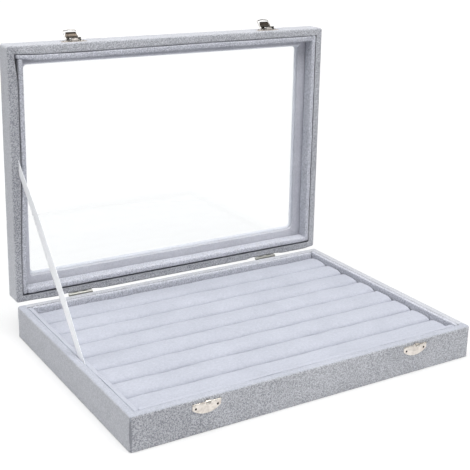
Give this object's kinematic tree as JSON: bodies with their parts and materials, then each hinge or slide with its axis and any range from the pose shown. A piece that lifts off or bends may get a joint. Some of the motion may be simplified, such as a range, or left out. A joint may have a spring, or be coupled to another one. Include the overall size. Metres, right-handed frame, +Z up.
{
  "type": "ring display box",
  "caption": "Shallow velvet-covered box with padded ring rolls, a hinged glass-window lid held open by a ribbon, and draw latches with wire bails.",
  "frame": {"origin": "centre of the box's underside", "axes": "+X along the width, -Y out of the front with the strikes, +Z up"},
  "size_m": [0.35, 0.2736, 0.2903],
  "materials": {
    "velvet": "pale grey crushed velvet",
    "liner_velvet": "smooth pale grey velvet over foam",
    "roll_velvet": "pale grey velvet sleeve",
    "felt": "grey felt",
    "ribbon": "white satin ribbon",
    "foam": "soft foam",
    "board": "raw fibreboard",
    "card": "grey card",
    "glass": "clear glass",
    "nickel": "warm nickel plate",
    "steel": "plain steel"
  },
  "bodies": {
    "base": {"base_front_board": "board", "base_back_board": "board", "base_left_board": "board", "base_right_board": "board", "base_floor_panel": "board", "underside_felt": "felt", "base_velvet_cover": "velvet", "base_liner_front": "liner_velvet", "base_liner_back": "liner_velvet", "base_liner_left": "liner_velvet", "base_liner_right": "liner_velvet", "roll_tray_card": "card", "ring_roll_1": "roll_velvet", "ring_roll_2": "roll_velvet", "ring_roll_3": "roll_velvet", "ring_roll_4": "roll_velvet", "ring_roll_5": "roll_velvet", "ring_roll_6": "roll_velvet", "ring_roll_7": "roll_velvet", "ring_roll_8": "roll_velvet", "roll_foam_cores": "foam", "hinge_base_leaf_left": "nickel", "hinge_base_leaf_right": "nickel", "hinge_pin_left": "steel", "hinge_pin_right": "steel", "base_hinge_nails": "steel", "strike_plate_left": "nickel", "strike_plate_right": "nickel", "strike_nails": "steel", "stay_ribbon": "ribbon"},
    "lid": {"lid_front_rail": "board", "lid_back_rail": "board", "lid_left_rail": "board", "lid_right_rail": "board", "window_frame": "board", "glass_pane": "glass", "glass_retainer_frame": "velvet", "lid_velvet_cover": "velvet", "lid_liner_front": "liner_velvet", "lid_liner_back": "liner_velvet", "lid_liner_left": "liner_velvet", "lid_liner_right": "liner_velvet", "hinge_lid_leaf_left": "nickel", "hinge_lid_leaf_right": "nickel", "lid_hinge_nails": "steel", "latch_plate_left": "nickel", "latch_plate_right": "nickel", "latch_plate_nails": "steel", "latch_pin_left": "steel", "latch_pin_right": "steel"},
    "lever_left": {"latch_lever_left": "nickel"},
    "lever_right": {"latch_lever_right": "nickel"},
    "bail_left": {"latch_bail_left": "nickel"},
    "bail_right": {"latch_bail_right": "nickel"}
  },
  "joints": [
    {"name": "lid_hinge", "type": "hinge", "parent": "base", "child": "lid", "pos_m": [0, 0.1252, 0.03115], "axis": [-1, 0, 0], "range_deg": [-90, 0], "deforming": ["stay_ribbon"]},
    {"name": "latch_lever_left", "type": "hinge", "parent": "lid", "child": "lever_left", "pos_m": [-0.108, 0.12895, 0.28205], "axis": [1, 0, 0], "range_deg": [0, 100]},
    {"name": "latch_bail_left", "type": "hinge", "parent": "lever_left", "child": "bail_left", "pos_m": [-0.108, 0.13335, 0.28145], "axis": [-1, 0, 0], "range_deg": [-133.55, 0]},
    {"name": "latch_lever_right", "type": "hinge", "parent": "lid", "child": "lever_right", "pos_m": [0.108, 0.12895, 0.28205], "axis": [1, 0, 0], "range_deg": [0, 100]},
    {"name": "latch_bail_right", "type": "hinge", "parent": "lever_right", "child": "bail_right", "pos_m": [0.108, 0.13335, 0.28145], "axis": [-1, 0, 0], "range_deg": [-133.55, 0]}
  ]
}
